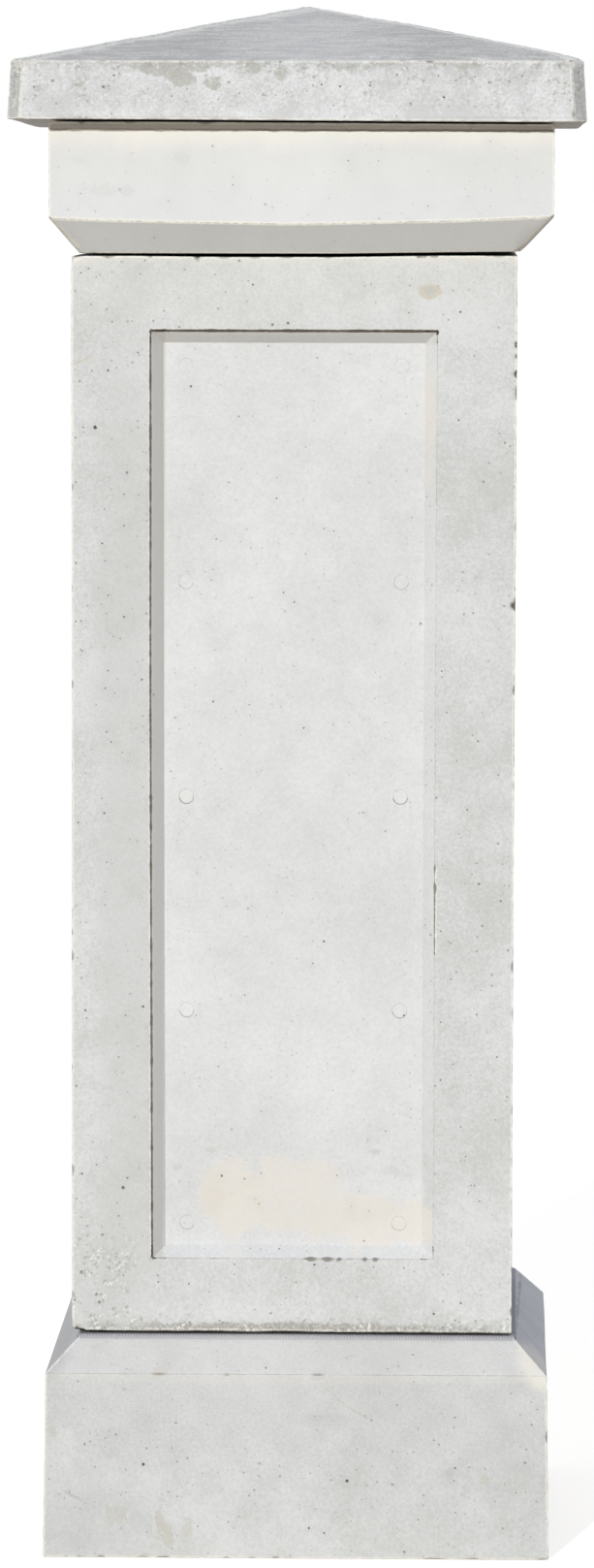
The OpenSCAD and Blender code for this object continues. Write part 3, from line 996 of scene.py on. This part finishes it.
collarBlock = dict(
    plainBlock, seed=37, holeRate=1100, warp=collarBow, arris=collarArris, swell=0.8,
    buried=lambda up, inset: smoothStep(36, 42, inset),
    pits=((-68, 69, 0.7, 0.9), (-68, 77, 0.6, 0.6), (-35, 50, 1.2, 0.5), (-28, 47, 0.6, 0.7),
          (48, 93, 0.7, 0.9), (50, 83, 0.6, 0.5), (-234, 41, 0.6, 0.7), (-207, 40, 0.6, 0.7),
          (-182, 63, 1.4, 0.25), (-133, 52, 1.1, 0.3), (-148, 15, 1, 0.7), (168, 56, 0.6, 0.6)),
    knocks=((112, 32, 4, 2.2, 0.2),),
    rubbed=(0.92, 0.89, 0.82), bump=0.2, rub=0.85,
    face=tone((0.80, 0.80, 0.795), (0.75, 0.75, 0.745), Grain=1.0, Pins=0.3),
    # painted shade: the undercut slope is painted darker than the faces
    sunk=tone((0.70, 0.70, 0.69), (0.665, 0.665, 0.655), Grain=1.6, Pins=0.3), sunkFrom=(0.2, 1.0),
    # a pale band, then painted shadow of the cap all round the top: a dark line at its lower edge and a brown
    # strip above
    bands=(band(112, (0.92, 0.89, 0.84), 0.9, 34, 16, 15.0),
           band(122, (0.28, 0.24, 0.19), 0.85, 1, 1.5, 60.0),
           band(124.5, (0.70, 0.66, 0.59), 0.9, 1.5, 1, 60.0)),
    stains=(
        blot(-199, 62, 14, 7, collarGrey, 0.35, 1.6, 50.0),
        blot(-176, 63, 6, 5, collarGrey, 0.4, 1.4, 80.0),
        blot(-120, 95, 8, 5, collarGrey, 0.35, 1.4, 80.0),
        blot(-222, 92, 8, 5, (0.70, 0.69, 0.66), 0.35, 1.4, 80.0)))


def capArris(up, inset, corner):
    if up > 50:
        return 1.4, 1.6, 24
    return (0.4, 2.2, 25) if up < 1 else (0.4, 1.4, 18)


def capLean(casting, rest, places):  # the cap leans back a little, and its apex is off the middle
    x, y = (rest[:, :2] - casting.middle).T
    up, inset = rest[:, 2] - casting.foot, casting.inset(rest)
    tilt = np.interp(x, (-150, 200), (2.6, 0.7))
    tilt = (tilt - (tilt + 2.6) * smoothStep(-1, 1, y / casting.half)) * (1 - smoothStep(0, 40, up))
    roof = (up > 61) * smoothStep(0, 25, inset)
    ridge = 2.2 * smoothStep(0, 120, x) * roof * (1 - smoothStep(180, 293, inset))
    aside = 5.5 * roof * inset / casting.half - 1.6 * smoothStep(0, 290, x)
    moved = places + np.stack([aside, 0 * x, tilt + ridge], axis=1)
    moved[:, 2] = np.minimum(moved[:, 2], casting.foot + 121.9)
    return moved


weathered = (0.50, 0.49, 0.45)

capBlock = dict(
    plainBlock, seed=41, holeRate=4600, holeSmall=0.45, holeLarge=1.3, arris=capArris, warp=capLean, swell=0,
    buried=lambda up, inset: smoothStep(60, 70, inset) * (up < 1),
    crowd=lambda across, up, inset: np.where(up > 61, 0.04, smoothStep(5, 50, up) * 0.8 + 0.15),
    zones=(pitted((50, 70), 8, 3.2, 6.0, 0.0, 1.2, 0.15, 0.8),
           pitted((12, 70), 12, 5.0, 9.0, 0.2, 0.5, 0.0, 0.45)),
    pits=((43, 36, 1.1, 1), (73, 37, 1, 0.8), (148, 25, 1.1, 1), (207, 60, 0.8, 0.9), (17, 45, 1.7, 0.3),
          (194, 40, 1.4, 0.5), (214, 41, 1.4, 0.4), (-34, 27, 1.4, 0.4), (160, 42, 0.8, 0.6),
          (-246, 41, 1.4, 0.5), (-265, 35, 1.1, 0.6)),
    rubbed=(0.88, 0.86, 0.80), rub=0.75, bump=0.5,
    face=tone((0.80, 0.80, 0.80), (0.645, 0.645, 0.64), Clouds=1.9, Grain=2.6, Pins=1.0),
    sunk=tone((0.85, 0.835, 0.795), (0.62, 0.615, 0.605), Clouds=3.4, Grain=2.6, Pins=0.3,
              stretch=(1, 0.3, 6)),
    # the diagonal corner faces are painted darker, as shade
    sunkFrom=(5.0, 7.0), corner=(0.79, 0.78, 0.765),
    streaks=(streak((0.2, 1.1, 1), 85.0, (0.48, 0.57), 0.85, (1.0, 0.98, 0.93)),
             streak((0.25, 1.3, 1), 110.0, (0.53, 0.62), 0.75, (0.43, 0.43, 0.45)),
             streak((0.8, 0.2, 1), 420.0, (0.5, 0.6), 0.6, (0.46, 0.46, 0.47))),
    bands=(band(58, weathered, 0.6, 6, 26, 45.0),),
    stains=(
        blot(10, 92, 80, 60, (0.98, 0.96, 0.92), 0.22, 0.6, 30.0, deep=300, soft=0.5, sunkOnly=True),
        *blots(((-134, 56, 24, 11), (-117, 44, 13, 9)), weathered, 0.85, 0.9, 80.0, soft=0.12),
        blot(-85, 39, 9, 7, weathered, 0.85, 0.8, 90.0, soft=0.12),
        *blots(((-45, 57, 9, 7), (-17, 50, 7, 8), (-100, 55, 12, 6)), weathered, 0.8, 0.8, 90.0, soft=0.12),
        *blots(((-219, 39, 7, 4), (-262, 34, 5, 3)), weathered, 0.6, 0.9, 110.0, soft=0.2),
        *blots(((-150, 5, 140, 0.8), (205, 5, 75, 0.8)), weathered, 0.45, 0.3, grit=0.5)))

for node, block in (("base", baseBlock), ("shaft", shaftBlock), ("collar", collarBlock), ("cap", capBlock)):
    casting = Casting(node, block)
    piece = casting.build(node + "Casting", concrete(node + "Concrete", casting))
    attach(piece, "root")
    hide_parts(node)
print("blocks built")

# camera, lights and a plain pale stage

# metres and degrees, with the lens and the sensor in millimetres
view = dict(place=(0.1655, -7.4208, 1.4179), turnLeft=1.322, lookDown=4.945, roll=0.116,
            lens=108.28, sensor=24.0)
lamps = dict(key=dict(fromLeft=14, height=15.5, strength=0.70, softness=1.5, colour=(1, 1, 0.95)),
             back=dict(fromLeft=180, height=12, strength=0.3, softness=20, colour=(1, 1, 1)))
ground = dict(size=600, lit=(0.53, 0.47, 0.37), seen=(0.80, 0.75, 0.64), glow=0.62)
sky = dict(colour=(0.93, 1.0, 1.2), strength=0.43)


def aimedCamera():
    data = bpy.data.cameras.new("camera")
    data.sensor_fit = "VERTICAL"
    data.sensor_height = view["sensor"]
    data.lens = view["lens"]
    data.clip_end = 1000
    camera = bpy.data.objects.new("camera", data)
    turn = Matrix.Rotation(math.radians(view["turnLeft"]), 4, "Z")
    tilt = Matrix.Rotation(math.radians(90 - view["lookDown"]), 4, "X")
    roll = Matrix.Rotation(math.radians(view["roll"]), 4, "Z")
    camera.matrix_world = Matrix.Translation(view["place"]) @ turn @ tilt @ roll
    bpy.context.scene.collection.objects.link(camera)
    bpy.context.scene.camera = camera


def sunLamp(name, fromLeft, height, strength, softness, colour):
    data = bpy.data.lights.new(name, "SUN")
    data.energy = strength * math.pi
    data.angle = math.radians(softness)
    data.color = colour
    lamp = bpy.data.objects.new(name, data)
    a, h = math.radians(fromLeft), math.radians(height)
    towards = Vector((-math.sin(a) * math.cos(h), -math.cos(a) * math.cos(h), math.sin(h)))
    lamp.rotation_euler = towards.to_track_quat("Z", "Y").to_euler()
    bpy.context.scene.collection.objects.link(lamp)


def seenDirectly(tree):  # 1 for what the eye, a gloss or a clear thing shows, 0 for what lights the object
    seen = put(tree, "LightPath").outputs
    direct = maths(tree, "MAXIMUM", seen["Is Camera Ray"], seen["Is Glossy Ray"])
    return maths(tree, "MAXIMUM", direct, seen["Is Transmission Ray"])


def stageFloor():
    bpy.ops.mesh.primitive_plane_add(size=ground["size"])
    floor = bpy.context.object
    floor.name = "floor"
    material = bpy.data.materials.new("floorPaint")
    material.use_nodes = True
    tree = material.node_tree
    tree.nodes.clear()
    direct = seenDirectly(tree)
    paint = mixColour(tree, direct, ground["lit"], ground["seen"])
    matt = put(tree, "BsdfDiffuse", {"Color": paint})
    glow = put(tree, "Emission", {"Color": (1, 1, 1, 1), "Strength": times(tree, direct, ground["glow"])})
    both = put(tree, "AddShader", {0: matt.outputs[0], 1: glow.outputs[0]})
    out = put(tree, "OutputMaterial")
    tree.links.new(both.outputs[0], out.inputs["Surface"])
    floor.data.materials.append(material)


def skyAndBackdrop():
    world = bpy.data.worlds.new("sky")
    world.use_nodes = True
    bpy.context.scene.world = world
    tree = world.node_tree
    tree.nodes.clear()
    light = put(tree, "Background", {"Color": (*sky["colour"], 1), "Strength": sky["strength"]})
    white = put(tree, "Background", {"Color": (1, 1, 1, 1), "Strength": 1.0})
    mix = put(tree, "MixShader", {0: seenDirectly(tree), 1: light.outputs[0], 2: white.outputs[0]})
    out = put(tree, "OutputWorld")
    tree.links.new(mix.outputs[0], out.inputs["Surface"])


aimedCamera()
for name, lamp in lamps.items():
    sunLamp(name, **lamp)
stageFloor()
skyAndBackdrop()
bpy.context.scene.view_settings.view_transform = "Standard"
print("stage set")
